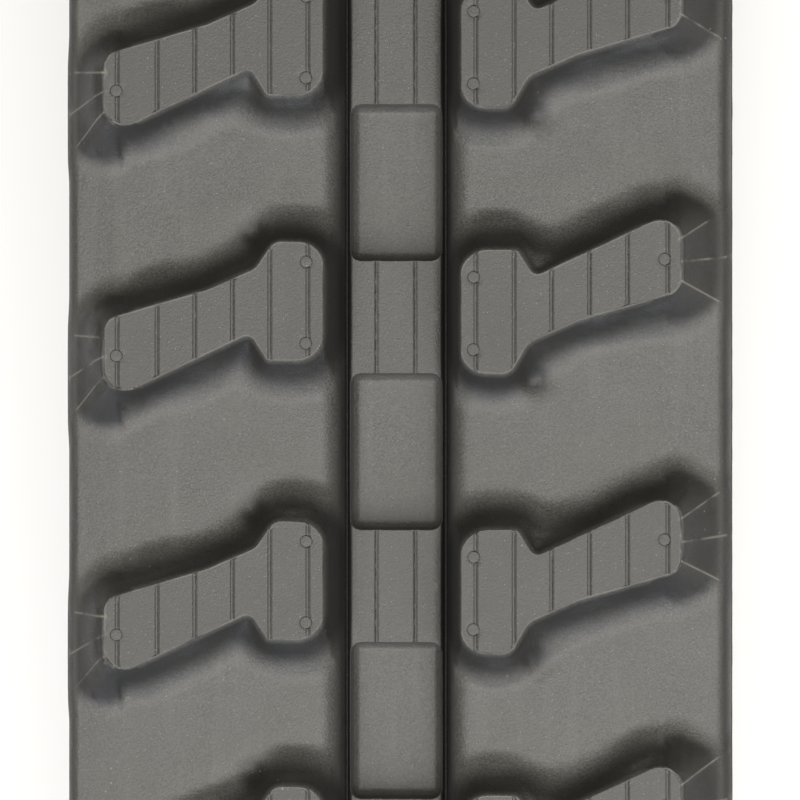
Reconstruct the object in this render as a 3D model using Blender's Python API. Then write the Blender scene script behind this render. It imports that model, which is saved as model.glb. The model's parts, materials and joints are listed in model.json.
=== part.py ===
"""Endless rubber track, 180 mm wide with a 72 mm pitch, in its installed oval shape.

X runs across the track, Y along its straight runs and Z up. The track stands on the lugs of its
bottom run, with the origin under its middle. Every pitch is a link of rubber around a steel core.
Neighbouring links hinge in the plane of the steel cords, midway between two cores.
"""

import math

import bmesh
import bpy
from mathutils import Matrix, Vector

MM = 0.001

# Track layout
PITCH = 72 * MM
STRAIGHT_LINKS = 9
END_LINKS = 5
END_TURN = math.radians(180 / (END_LINKS + 1))
LINKS = 2 * (STRAIGHT_LINKS + END_LINKS)

# Heights over the cord plane, which is the bending line, and widths across the track
LUG_TOP = 19 * MM
BASE_TOP = 8 * MM
BLOCK_TOP = -1 * MM
POCKET_FLOOR = -10 * MM
MEMBRANE_BACK = -13 * MM
INNER_FACE = -17 * MM
HALF_WIDTH = 90 * MM
BASE_EDGE = 84.6 * MM
PATH_EDGE = 60 * MM
COLUMN_TOP = 13.2 * MM
COLUMN_HALF = 12.3 * MM
BLOCK_HALF_LENGTH = 14.8 * MM
GAP = 0.3 * MM
LINK_HALF = PITCH / 2 - GAP / 2
FLEX_CHAMFER = END_TURN / 2 + math.radians(0.6)

# Cord belts and core
CORD_IN = 26 * MM
CORD_OUT = 56 * MM
CORD_THICK = 3.6 * MM
CORE_TOP = -4 * MM
WING_BACK = -12.5 * MM
BRIDGE_BACK = -22 * MM
HORN_TIP = -45 * MM
CORE_HALF_SPAN = 58 * MM
HORN_MIDDLE = 17 * MM

# Lugs: corners of the left lug's top face (x, y) and their radii, in millimetres
LUG_CORNERS = (
    (-31.2, 19.6, 4.0),
    (-18.2, 19.3, 7.5),
    (-18.2, -11.8, 7.5),
    (-33.0, -11.7, 1.8),
    (-37.6, -4.5, 2.6),
    (-76.1, -22.6, 5.5),
    (-76.1, -1.0, 4.5),
    (-49.0, 6.8, 9.0),
    (-36.0, 12.5, 5.0),
)
LUG_ARC_STEPS = 2
LUG_DRAFT = 4.4 * MM
RIGHT_LUG_SHIFT = 5.6 * MM

RUBBER = ("rubber", (0.035, 0.034, 0.032), 0.55, 0.0)
CAST_STEEL = ("cast_steel", (0.17, 0.16, 0.15), 0.6, 0.9)
CORD_STEEL = ("cord_steel", (0.45, 0.44, 0.42), 0.4, 1.0)


def clear_scene():
    for obj in list(bpy.data.objects):
        bpy.data.objects.remove(obj, do_unlink=True)


def make_material(name, color, roughness, metallic):
    material = bpy.data.materials.new(name)
    material.use_nodes = True
    shader = material.node_tree.nodes["Principled BSDF"]
    shader.inputs["Base Color"].default_value = (*color, 1)
    shader.inputs["Roughness"].default_value = roughness
    shader.inputs["Metallic"].default_value = metallic
    return material


def add_object(name, mesh, material=None):
    obj = bpy.data.objects.new(name, mesh)
    if mesh and not mesh.materials:
        mesh.materials.append(material)
    bpy.context.scene.collection.objects.link(obj)
    return obj


def loft(name, loops, split=False):
    """A closed mesh through loops of points that match one to one, capped at both ends.

    Split quads all have their diagonals one way, which keeps a solid and the larger pocket
    around it parallel.
    """
    body = bmesh.new()
    rings = [[body.verts.new(point) for point in loop] for loop in loops]
    for low, high in zip(rings, rings[1:]):
        for n, corner in enumerate(low):
            after = (n + 1) % len(low)
            body.faces.new((corner, low[after], high[after], high[n]))
    if split:
        bmesh.ops.triangulate(body, faces=body.faces, quad_method="FIXED")
    body.faces.new(rings[0][::-1])
    body.faces.new(rings[-1])
    bmesh.ops.recalc_face_normals(body, faces=body.faces)
    mesh = bpy.data.meshes.new(name)
    body.to_mesh(mesh)
    body.free()
    return mesh


def box(name, low, high):
    x0, y0, z0 = low
    x1, y1, z1 = high
    loops = [[(x0, y0, z), (x1, y0, z), (x1, y1, z), (x0, y1, z)] for z in (z0, z1)]
    return loft(name, loops)


def combine(mesh, steps):
    """The mesh after Booleans with each (operation, mesh) in steps."""
    target = bpy.data.objects.new("combined", mesh)
    bpy.context.scene.collection.objects.link(target)
    others = []
    for operation, other in steps:
        helper = bpy.data.objects.new("helper", other)
        bpy.context.scene.collection.objects.link(helper)
        others.append(helper)
        modifier = target.modifiers.new(operation, "BOOLEAN")
        modifier.operation = operation
        modifier.object = helper
    bpy.context.view_layer.update()
    graph = bpy.context.evaluated_depsgraph_get()
    result = bpy.data.meshes.new_from_object(target.evaluated_get(graph))
    for obj in [target, *others]:
        bpy.data.objects.remove(obj, do_unlink=True)
    return result


def moved(corners, offset):
    """The polygon's corners (x, y) after each side moves outwards by the offset. It runs clockwise."""
    points = [Vector((x, y)) for x, y in corners]
    found = []
    for n, corner in enumerate(points):
        before = (corner - points[n - 1]).normalized()
        after = (points[(n + 1) % len(points)] - corner).normalized()
        out_before = Vector((-before.y, before.x))
        out_after = Vector((-after.y, after.x))
        shift = (out_before + out_after) / (1 + out_before.dot(out_after))
        found.append(corner + shift * offset)
    return found


def rounded(corners, radii, steps):
    """A closed outline whose corners are arcs of the given radii."""
    outline = []
    for n, corner in enumerate(corners):
        to_before = (corners[n - 1] - corner).normalized()
        to_after = (corners[(n + 1) % len(corners)] - corner).normalized()
        half = to_before.angle(to_after) / 2
        centre_way = (to_before + to_after).normalized()
        centre = corner + centre_way * (radii[n] / math.sin(half))
        first = corner + to_before * (radii[n] / math.tan(half)) - centre
        last = corner + to_after * (radii[n] / math.tan(half)) - centre
        sweep = math.atan2(first.cross(last), first.dot(last))
        for k in range(steps + 1):
            turn = Matrix.Rotation(sweep * k / steps, 2)
            outline.append(centre + turn @ first)
    return outline


def turns_outwards(corners, n):
    before = corners[n] - corners[n - 1]
    after = corners[(n + 1) % len(corners)] - corners[n]
    return before.cross(after) < 0


def lug_outline(draft):
    """The left lug's outline, moved outwards by the draft, in metres."""
    sharp = [Vector((x, y)) * MM for x, y, _ in LUG_CORNERS]
    radii = []
    for n, (_, _, radius) in enumerate(LUG_CORNERS):
        change = draft if turns_outwards(sharp, n) else -draft
        radii.append(max(radius * MM + change, 0.5 * MM))
    return rounded(moved(sharp, draft), radii, LUG_ARC_STEPS)


def lug(name, left):
    side = 1 if left else -1
    shift = 0 if left else RIGHT_LUG_SHIFT
    loops = []
    for height, draft in ((BASE_TOP - 1 * MM, LUG_DRAFT), (LUG_TOP, 0)):
        outline = lug_outline(draft)
        loops.append([(side * p.x, side * p.y + shift, height) for p in outline])
    return loft(name, loops)


def band_section():
    """The rubber band's cross-section (x, z) without lugs, blocks and windows."""
    right = [
        (COLUMN_HALF, POCKET_FLOOR),
        (COLUMN_TOP, BASE_TOP),
        (BASE_EDGE, BASE_TOP),
        (BASE_EDGE + 4 * MM, BASE_TOP - 3 * MM),
        (HALF_WIDTH, 0),
        (HALF_WIDTH, -8 * MM),
        (HALF_WIDTH - 4 * MM, -12 * MM),
        (PATH_EDGE + 4 * MM, INNER_FACE + 3 * MM),
        (PATH_EDGE, INNER_FACE),
        (COLUMN_HALF, INNER_FACE),
        (COLUMN_HALF, MEMBRANE_BACK),
    ]
    return right + [(-x, z) for x, z in reversed(right)]


def band_piece():
    loops = []
    for y in (-LINK_HALF, LINK_HALF):
        loops.append([(x, y, z) for x, z in band_section()])
    return loft("band", loops)


def flex_wedge(side):
    """What is cut from a link's end below the cord plane, so that neighbours can bend inwards."""
    slope = math.tan(FLEX_CHAMFER)
    top, bottom, far = 2 * MM, -25 * MM, LINK_HALF + 6 * MM
    profile = [
        (LINK_HALF + top * slope, top),
        (far, top),
        (far, bottom),
        (LINK_HALF + bottom * slope, bottom),
    ]
    loops = []
    for x in (-HALF_WIDTH - 5 * MM, HALF_WIDTH + 5 * MM):
        loops.append([(x, side * y, z) for y, z in profile])
    return loft("wedge", loops)


def centre_block():
    low = (-COLUMN_TOP - 1 * MM, -BLOCK_HALF_LENGTH, INNER_FACE + 0.5 * MM)
    high = (COLUMN_TOP + 1 * MM, BLOCK_HALF_LENGTH, BLOCK_TOP)
    return box("block", low, high)


def core(name, clearance=0.0):
    """A core as sections across it. With a clearance it is the pocket that holds one."""
    stations = (
        # x, half length and height of its top, half length and height of its back
        (CORE_HALF_SPAN, 8 * MM, CORE_TOP - 1.5 * MM, 7 * MM, WING_BACK + 2 * MM),
        (CORE_HALF_SPAN - 4 * MM, 10 * MM, CORE_TOP, 9 * MM, WING_BACK),
        (25 * MM, 11.5 * MM, CORE_TOP, 10.5 * MM, WING_BACK),
        (23 * MM, 11.5 * MM, CORE_TOP, 8.5 * MM, INNER_FACE),
        (20.5 * MM, 11.5 * MM, CORE_TOP, 4.5 * MM, HORN_TIP + 2 * MM),
        (18.5 * MM, 11.5 * MM, CORE_TOP, 4 * MM, HORN_TIP),
        (16 * MM, 11.5 * MM, CORE_TOP, 4.5 * MM, HORN_TIP + 3 * MM),
        (13.5 * MM, 12 * MM, CORE_TOP, 9.5 * MM, BRIDGE_BACK),
        (10 * MM, 12 * MM, CORE_TOP - 0.5 * MM, 10.5 * MM, BRIDGE_BACK),
    )
    sections = [(-x, *size) for x, *size in stations]
    sections += stations[::-1]
    loops = []
    for x, top_half, top, back_half, back in sections:
        outwards = 1 if abs(x) > HORN_MIDDLE else -1
        x += math.copysign(clearance, x) * outwards
        top += clearance
        back -= clearance
        top_half += clearance
        back_half += clearance
        loops.append(
            [(x, -top_half, top), (x, top_half, top), (x, back_half, back), (x, -back_half, back)]
        )
    return loft(name, loops, split=True)


def cord_slot(side):
    low = (CORD_IN - GAP, -PITCH, -CORD_THICK / 2 - GAP)
    high = (CORD_OUT + GAP, PITCH, CORD_THICK / 2 + GAP)
    xs = sorted((side * low[0], side * high[0]))
    return box("slot", (xs[0], low[1], low[2]), (xs[1], high[1], high[2]))


def rubber_link():
    steps = [
        ("DIFFERENCE", cord_slot(-1)),
        ("DIFFERENCE", cord_slot(1)),
        ("DIFFERENCE", flex_wedge(-1)),
        ("DIFFERENCE", flex_wedge(1)),
        ("UNION", centre_block()),
        ("UNION", lug("left_lug", True)),
        ("UNION", lug("right_lug", False)),
        ("DIFFERENCE", core("core_pocket", GAP)),
    ]
    return combine(band_piece(), steps)


def loop_turns():
    """How far the track bends at each joint, from link 0 in the middle of the bottom run."""
    half_run = [0.0] * (STRAIGHT_LINKS // 2)
    end = [END_TURN] * (END_LINKS + 1)
    top_run = [0.0] * (STRAIGHT_LINKS - 1)
    return half_run + end + top_run + end + half_run


def joint_points():
    """(points, headings): where the pitch line's corners are, as (y, z), and each link's heading."""
    half_height = (PITCH / 2) / math.tan(END_TURN / 2)
    ground = LUG_TOP
    point = Vector((-PITCH / 2, ground))
    heading = 0.0
    points, headings = [point.copy()], []
    for turn in loop_turns():
        headings.append(heading)
        point = point + PITCH * Vector((math.cos(heading), math.sin(heading)))
        points.append(point.copy())
        heading += turn
    assert (points[-1] - points[0]).length < 1e-6
    assert abs(max(p.y for p in points) - ground - 2 * half_height) < 1e-6
    return points, headings


def link_placement(start, end, heading):
    """Puts a link that is modelled tread up so that its inner side faces the middle of the loop."""
    middle = (start + end) / 2
    flip = Matrix.Rotation(math.pi, 4, "X")
    turn = Matrix.Rotation(heading, 4, "X")
    return Matrix.Translation((0, middle.x, middle.y)) @ turn @ flip


def add_link(n, placement, pieces):
    """Hangs a link's pieces from an empty on the joint that it hinges at.

    The chain of links starts at link 0 and runs both ways round the loop, so the joint is at the
    start of a link in the first half and at the end of one in the second half.
    """
    to_joint = PITCH / 2 if n <= LINKS // 2 else -PITCH / 2
    pivot = add_object(f"pivot_{n:02d}", None)
    pivot.empty_display_size = PITCH / 2
    pivot.matrix_world = placement @ Matrix.Translation((0, to_joint, 0))
    for piece in pieces:
        piece.parent = pivot
        piece.location.y = -to_joint


def cord_belt(name, side):
    """A flat band around the loop, whose corners lie on the joints."""
    points = joint_points()[0][:-1]
    turns = loop_turns()
    xs = sorted((side * CORD_IN, side * CORD_OUT))
    headings = joint_points()[1]
    body = bmesh.new()
    rings = []
    for n, point in enumerate(points):
        bend = turns[n - 1]
        middle = headings[n] - bend / 2
        out = Vector((math.sin(middle), -math.cos(middle))) / math.cos(bend / 2)
        far = point + out * CORD_THICK / 2
        near = point - out * CORD_THICK / 2
        section = [(xs[0], far), (xs[1], far), (xs[1], near), (xs[0], near)]
        rings.append([body.verts.new((x, p.x, p.y)) for x, p in section])
    for n, ring in enumerate(rings):
        after = rings[(n + 1) % len(rings)]
        for k in range(4):
            j = (k + 1) % 4
            body.faces.new((ring[k], ring[j], after[j], after[k]))
    bmesh.ops.recalc_face_normals(body, faces=body.faces)
    mesh = bpy.data.meshes.new(name)
    body.to_mesh(mesh)
    body.free()
    return mesh


def build():
    clear_scene()
    rubber = make_material(*RUBBER)
    steel = make_material(*CAST_STEEL)
    cord = make_material(*CORD_STEEL)
    link_mesh = rubber_link()
    core_mesh = core("core")
    points, headings = joint_points()
    for n, heading in enumerate(headings):
        link = add_object(f"rubber_link_{n:02d}", link_mesh, rubber)
        steel_core = add_object(f"core_{n:02d}", core_mesh, steel)
        add_link(n, link_placement(points[n], points[n + 1], heading), (link, steel_core))
    add_object("cord_belt_left", cord_belt("cord_belt_left", -1), cord)
    add_object("cord_belt_right", cord_belt("cord_belt_right", 1), cord)


build()
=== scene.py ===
"""Looks of an endless rubber track: moulded rubber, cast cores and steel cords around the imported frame.

The rubber is made as one band, from a flat pattern of a single pitch in millimetres, with x across
the track, y along it and z over the plane of the cords. The lugs of every other link sit a little
further along. Each piece of the band runs from the middle of one core to the middle of the next,
curved to the loop, and bends at their joint.
"""

import json
import math

import bmesh
import bpy
import numpy as np
from mathutils import Matrix, Vector
from mathutils.geometry import delaunay_2d_cdt

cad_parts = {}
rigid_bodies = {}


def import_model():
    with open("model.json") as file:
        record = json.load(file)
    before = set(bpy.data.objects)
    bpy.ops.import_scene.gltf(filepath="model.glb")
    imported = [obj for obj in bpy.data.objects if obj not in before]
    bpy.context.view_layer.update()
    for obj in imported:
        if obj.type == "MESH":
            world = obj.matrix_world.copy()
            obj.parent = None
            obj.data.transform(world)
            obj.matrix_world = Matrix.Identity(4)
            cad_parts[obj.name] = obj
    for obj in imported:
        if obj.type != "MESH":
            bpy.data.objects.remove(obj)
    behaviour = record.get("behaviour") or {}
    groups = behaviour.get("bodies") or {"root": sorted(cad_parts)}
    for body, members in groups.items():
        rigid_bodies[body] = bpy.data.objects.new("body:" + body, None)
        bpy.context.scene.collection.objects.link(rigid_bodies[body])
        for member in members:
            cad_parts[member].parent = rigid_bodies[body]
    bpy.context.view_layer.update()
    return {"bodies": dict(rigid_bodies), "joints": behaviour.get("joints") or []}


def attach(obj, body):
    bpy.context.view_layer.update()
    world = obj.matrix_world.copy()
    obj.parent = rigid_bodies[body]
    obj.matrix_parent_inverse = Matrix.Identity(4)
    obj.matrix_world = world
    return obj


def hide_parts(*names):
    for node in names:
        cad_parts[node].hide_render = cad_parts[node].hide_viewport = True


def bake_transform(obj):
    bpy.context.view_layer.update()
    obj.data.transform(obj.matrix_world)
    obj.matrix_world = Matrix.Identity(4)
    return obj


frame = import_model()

MM = 0.001

# Loop layout, in millimetres
LINKS = len(frame["bodies"])
PITCH = 72.0
FLEX_START = 13.0
FLEX_END = PITCH - FLEX_START

# Heights over the cord plane, in millimetres
LUG_TOP = 19.0
BASE_TOP = 8.0
BLOCK_TOP = -1.0
MEMBRANE_BACK = -13.0
INNER_FACE = -17.0
OUTER_EDGE = -1.0

# Widths, lengths, depths and slopes of the flat pattern, in millimetres
HALF_WIDTH = 89.8
PARTING_EDGE = 90.0
LEFT_EDGE_START = 79.0
LEFT_EDGE_SQUEEZE = 0.81
BASE_BEVEL = 74.0
BASE_EDGE = 85.4
COLUMN_HALF = 12.3
POCKET_HALF = (12.25, 21.0)
POCKET_CORNER = 2.7
LUG_SLOPE = 1.4
FILLET = 5.0
PANEL_CROWN = 0.6
PANEL_MIDDLE = 46.0
PANEL_REACH = 34.0
BEVEL_SLOPE = 0.07
SLOT_EDGE = 12.9
POCKET_WALL = 6.4
POCKET_DISH = 2.6
DENT_DEPTH = 3.5
HORN_MIDDLE = 18.7
BACK_EDGE = 85.5
RIM_DROP = 4.0
GRID_STEP = 1.5
FAN_START = 76.0
FAN_MIDDLES = {True: -11.8, False: -10.0}
FAN_LEANS = {True: 0.26, False: 0.0}
FAN_HALF = 10.8
FAN_SPREAD = 0.48
FAN_SLOPE = 1.15
FLASH_WIDTH = 0.26
FLASH_RISE = 0.3
FLASH_LINES = {
    True: ((-5.7, 0.065), (-10.5, -0.45), (-15.8, -0.88)),
    False: ((-14.6, -0.68), (-8.6, -0.13), (-3.8, 0.53)),
}
UPPER_HOLLOW = (-36.5, 21.5)
LUG_MOVES = (0.0, -1.86)
MOVE_STARTS = (28.0, 19.0)
MOVE_LENGTH = 19.0
COLUMN_PROFILE = (
    (0.0, -1.0), (11.4, -1.0), (12.0, -1.3), (12.5, -2.4), (13.0, -6.2), (13.3, -6.5), (13.6, -6.0),
    (18.4, 19.9), (20.0, 30.0), (99.0, 90.0),
)
LUG_CORNERS = (
    (-31.2, 19.6, 4.0),
    (-18.2, 19.3, 7.5),
    (-18.2, -11.8, 7.5),
    (-33.0, -11.7, 1.8),
    (-37.6, -4.5, 2.6),
    (-76.1, -22.6, 5.5),
    (-76.1, -1.0, 4.5),
    (-49.0, 6.8, 9.0),
    (-36.0, 12.5, 5.0),
)
RIGHT_LUG_SHIFT = 5.6
RIGHT_LOBE_EXTRA = 1.3
LUG_ARC_STEP = math.radians(15)
LUG_EDGE_OFFSETS = (-0.9, -0.3, -0.08, 0.08, 0.5, 1.3, 2.4)
LEFT_PINS = ((-22.7, 14.3), (-22.8, -7.2), (-73.1, -10.5))
RIGHT_PINS = ((21.6, 10.2), (21.5, -8.9), (71.9, 14.9))
PIN_RADIUS = 1.6
PIN_DEPTH = 0.22
PIN_LINE = 0.13
LUG_VENTS = (22.2, 32.3, 42.2, 52.2, 62.2, 72.8)
BLOCK_VENTS = (-5.2, 5.2)
BLOCK_HALF_LENGTH = 15.0
VENT_HALF_GAP = 0.5
VENT_DEPTH = 0.16
VENT_RIDGE = 0.09
VENT_LINE = 0.11
BLOCK_VENT_SHARE = 1.25

# The belt's edge, as distance from the middle and height, with the thin rib of the mould's parting line
SIDE_PROFILE = (
    (89.85, -2.0),
    (89.85, -3.55),
    (PARTING_EDGE, -3.85),
    (PARTING_EDGE, -4.15),
    (89.85, -4.45),
    (89.85, -6.8),
)
SIDE_WAVE = 0.12

# Cords and what is around the track: millimetres for the cords, else metres and degrees
CORD_MIDDLE = 41.0
CORD_SIDES = 10
FLOOR_REACH = 6.0
LIGHT_TARGET = (0, 0.1, 0.28)
WORLD_COLOUR = (1, 0.92, 0.72, 1)
WORLD_STRENGTH = 0.2
VIEW_ANGLE = 8.15
CAMERA_TARGET = (0.0011, 0.1218, 0.2867)
CAMERA_OFFSET = (0.0789, 0.0, 1.5)


def smooth_step(values):
    """0 up to 0, 1 from 1 on, and an even curve between."""
    values = np.clip(values, 0, 1)
    return values * values * (3 - 2 * values)


def smooth_max(a, b, reach):
    """The larger of two heights, rounded where they cross."""
    near = np.maximum(reach - np.abs(a - b), 0) / reach
    return np.maximum(a, b) + near * near * reach / 4


def smooth_min(a, b, reach):
    return -smooth_max(-a, -b, reach)


def bell(away):
    return np.exp(-away * away)


def between_cells(cells, i, j, across, along):
    """Values between the cells of a grid that wraps round along j."""
    low, high = j % cells.shape[1], (j + 1) % cells.shape[1]
    left = cells[i, low] * (1 - along) + cells[i, high] * along
    right = cells[i + 1, low] * (1 - along) + cells[i + 1, high] * along
    return left * (1 - across) + right * across


class Noise:
    """Smooth noise from -1 to 1 over x and the way round the loop, which it fits without a seam."""

    def __init__(self, seed, cell_x, cell_s):
        cells_round = max(1, round(LINKS * PITCH / cell_s))
        self.cell_x = cell_x
        self.cell_s = LINKS * PITCH / cells_round
        across = int(2 * PARTING_EDGE / cell_x) + 4
        self.grid = np.random.default_rng(seed).uniform(-1, 1, (across, cells_round))

    def at(self, x, s):
        column, row = (x + PARTING_EDGE) / self.cell_x + 1, s / self.cell_s
        i, j = np.floor(column).astype(int), np.floor(row).astype(int)
        return between_cells(self.grid, i, j, smooth_step(column - i), smooth_step(row - j))


# ---- outlines


def offset_corners(corners, offset):
    """The corners after each side of the clockwise polygon moves outwards."""
    points = [Vector(corner[:2]) for corner in corners]
    found = []
    for n, corner in enumerate(points):
        before = (corner - points[n - 1]).normalized()
        after = (points[(n + 1) % len(points)] - corner).normalized()
        out_before = Vector((-before.y, before.x))
        out_after = Vector((-after.y, after.x))
        found.append(corner + (out_before + out_after) * offset / (1 + out_before.dot(out_after)))
    return found


def rounded_outline(corners, offset=0.0):
    """Points of the polygon (x, y, radius), its corners arcs, moved outwards by the offset."""
    points = offset_corners(corners, offset)
    outline = []
    for n, corner in enumerate(points):
        to_before = points[n - 1] - corner
        to_after = points[(n + 1) % len(points)] - corner
        convex = to_before.cross(to_after) > 0
        radius = max(corners[n][2] + (offset if convex else -offset), 0.4)
        half = to_before.angle(to_after) / 2
        room = 0.49 * min(to_before.length, to_after.length) * math.tan(half)
        radius = min(radius, room)
        to_before.normalize()
        to_after.normalize()
        centre = corner + (to_before + to_after).normalized() * radius / math.sin(half)
        first = corner + to_before * radius / math.tan(half) - centre
        last = corner + to_after * radius / math.tan(half) - centre
        sweep = math.atan2(first.cross(last), first.dot(last))
        steps = max(2, math.ceil(abs(sweep) / LUG_ARC_STEP))
        for k in range(steps + 1):
            outline.append(centre + Matrix.Rotation(sweep * k / steps, 2) @ first)
    return np.array([tuple(p) for p in outline])


def even_points(outline, step, closed=True):
    """The outline with points no further apart than the step."""
    ends = np.roll(outline, -1, axis=0) if closed else outline[1:]
    starts = outline if closed else outline[:-1]
    found = []
    for a, b in zip(starts, ends):
        count = max(1, math.ceil(np.linalg.norm(b - a) / step))
        for k in range(count):
            found.append(a + (b - a) * k / count)
    if not closed:
        found.append(outline[-1])
    return np.array(found)


def signed_distance(x, y, outline):
    """Distance to a closed outline, negative inside."""
    best = np.full(x.shape, 1e9)
    inside = np.zeros(x.shape, bool)
    for a, b in zip(outline, np.roll(outline, -1, axis=0)):
        side = b - a
        length = max(side @ side, 1e-12)
        along = np.clip(((x - a[0]) * side[0] + (y - a[1]) * side[1]) / length, 0, 1)
        best = np.minimum(best, np.hypot(x - a[0] - along * side[0], y - a[1] - along * side[1]))
        if a[1] != b[1]:
            crosses = (a[1] > y) != (b[1] > y)
            inside ^= crosses & (x < a[0] + side[0] * (y - a[1]) / side[1])
    return np.where(inside, -best, best)


def turned(points, left):
    """Left lug points as they are, or turned half round for the right lug."""
    points = np.asarray(points, float)
    return points if left else -points + np.array([0.0, RIGHT_LUG_SHIFT])


def rounded_box_distance(x, y, half, corner):
    """Distance to a rectangle with rounded corners, negative inside."""
    dx = np.abs(x) - half[0] + corner
    dy = np.abs(y) - half[1] + corner
    outside = np.hypot(np.maximum(dx, 0), np.maximum(dy, 0))
    return outside + np.minimum(np.maximum(dx, dy), 0) - corner


# ---- heights of the flat pattern


def lug_outline(left, offset=0.0):
    """A lug's outline; the right lug's lobe, by the column, is a little longer."""
    extra = 0 if left else RIGHT_LOBE_EXTRA
    corners = [(x, y + extra * (y > 15), radius) for x, y, radius in LUG_CORNERS]
    return turned(rounded_outline(corners, offset), left)


LUG_OUTLINES = [lug_outline(left) for left in (True, False)]


def pocket_distance(x, y):
    """Distance to the nearest pocket's rim, negative inside. Pockets lie midway between cores."""
    to_pocket = PITCH / 2 - np.abs(y)
    return rounded_box_distance(x, to_pocket, POCKET_HALF, POCKET_CORNER)


def edge_drop(across, start):
    """0 up to start and 1 at the belt's edge, along a quarter of an ellipse."""
    edge = np.clip((across - start) / (HALF_WIDTH - start), 0, 1)
    return 1 - np.sqrt(np.clip(1 - edge * edge, 0, 1))


def base_height(x):
    """The panels between the lugs, slightly crowned, which slope and round off to the belt's edge."""
    across = np.abs(x)
    crown = PANEL_CROWN * np.cos(np.clip((across - PANEL_MIDDLE) / PANEL_REACH, -1, 1) * math.pi / 2)
    slope = BEVEL_SLOPE * np.maximum(across - BASE_BEVEL, 0)
    low = BASE_TOP - PANEL_CROWN
    fall = low - BEVEL_SLOPE * (HALF_WIDTH - BASE_BEVEL) - OUTER_EDGE
    beside_slot = np.where(across > SLOT_EDGE, 0.0225 * np.maximum(21 - across, 0) ** 3, 0)
    return low + crown - slope - beside_slot - fall * edge_drop(across, BASE_EDGE)


def turned_back(x, y, left):
    """The point of the left lug's pattern that a point of the left or right lug's stands for."""
    return (x, y) if left else (-x, RIGHT_LUG_SHIFT - y)


def repeats(y):
    """y as seen from this link and from both its neighbours."""
    return (y, y - PITCH, y + PITCH)


def fan_height(x, y, left):
    """The buttress that fans out from a lug's end and slopes to the belt's edge."""
    flat_x, flat_y = turned_back(x, y, left)
    out = -flat_x - FAN_START
    middle, lean = FAN_MIDDLES[left], FAN_LEANS[left]
    beyond = np.maximum(out, 0)
    flank = np.abs(flat_y - middle + lean * out) - FAN_HALF - FAN_SPREAD * beyond + 3
    ridge = LUG_TOP - FAN_SLOPE * beyond - LUG_SLOPE * np.maximum(-out - 3, 0)
    return ridge - 0.55 * (flank + np.hypot(flank, 2.2))


def flash_line(start, lean, left):
    """Points down the middle of one line of flash that runs out over a fan."""
    outs = np.arange(0.3, HALF_WIDTH - FAN_START - 0.8, 1.2)
    return turned(np.column_stack([-FAN_START - outs, start + lean * outs]), left)


def flash_height(x, y, left):
    """Thin raised lines of flash that run out over the fan."""
    flat_x, flat_y = turned_back(x, y, left)
    out = -flat_x - FAN_START
    rise = np.zeros(x.shape)
    for start, lean in FLASH_LINES[left]:
        rise = np.maximum(rise, bell((flat_y - start - lean * out) / FLASH_WIDTH))
    return np.where(out > -0.5, rise, 0)


def hollow(x, y, centre, radius):
    """1 at the centre of a round dent, fading out around it."""
    return bell(np.hypot(x - centre[0], y - centre[1]) / radius)


def lug_distance(x, y):
    """Distance to the nearest lug, of this link or its neighbours; negative inside."""
    found = [signed_distance(x, v, outline) for outline in LUG_OUTLINES for v in repeats(y)]
    return np.min(found, axis=0)


class BlurredField:
    """A blurred copy of a function of the flat pattern, on a grid that repeats every pitch along y."""

    def __init__(self, function, cell, blur):
        self.cell = cell
        xs = np.arange(-HALF_WIDTH - 3, HALF_WIDTH + 3 + cell, cell)
        self.first = xs[0]
        x, y = np.meshgrid(xs, np.arange(round(PITCH / cell)) * cell)
        values = function(x.ravel(), y.ravel()).reshape(x.shape)
        reach = int(3 * blur / cell)
        weights = np.exp(-0.5 * (np.arange(-reach, reach + 1) * cell / blur) ** 2)
        weights /= weights.sum()
        for axis in (0, 1):
            padding = [(0, 0), (0, 0)]
            padding[axis] = (reach, reach)
            padded = np.pad(values, padding, mode="wrap" if axis == 0 else "edge")
            size = values.shape[axis]
            values = sum(w * padded.take(range(k, k + size), axis) for k, w in enumerate(weights))
        self.values = values.T

    def at(self, x, y):
        column, row = (x - self.first) / self.cell, (y % PITCH) / self.cell
        i, j = np.floor(column).astype(int), np.floor(row).astype(int)
        held = np.clip(i, 0, self.values.shape[0] - 2)
        return between_cells(self.values, held, j, column - i, row - j)


SOFT_DISTANCE = BlurredField(lug_distance, 0.5, 2.4)


def filled_distance(x, y, distance):
    """Distance to the lugs, blurred away from their edges, which fills their inner corners."""
    share = smooth_step((distance - 0.4) / 4.5)
    return distance + share * (SOFT_DISTANCE.at(x, y) - distance)


def tread_parts(x, y, stagger):
    """What the tread's height and marks are made from; stagger is how far the lugs are moved along."""
    lug_y = y - stagger
    distance = lug_distance(x, lug_y)
    base = base_height(x)
    fan = np.full(x.shape, -99.0)
    lines = np.zeros(x.shape)
    dent = np.zeros(x.shape)
    for left in (True, False):
        dent += hollow(x, lug_y, turned(UPPER_HOLLOW, left), 4.2)
        for v in repeats(lug_y):
            fan = np.maximum(fan, fan_height(x, v, left))
            lines = np.maximum(lines, flash_height(x, v, left))
    inside = np.maximum(-pocket_distance(x, y), 0)
    wall = POCKET_WALL * smooth_step(inside / 0.5)
    dish = POCKET_DISH * (1 - (1 - np.clip((inside - 0.3) / 2.4, 0, 1)) ** 2)
    profile = np.interp(np.abs(x), *zip(*COLUMN_PROFILE))
    rise, groove = vents(x, y, lug_y, distance)
    soft = filled_distance(x, lug_y, distance)
    return np.stack([soft, base, fan, lines, dent, profile, wall + dish, rise, groove])


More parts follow.
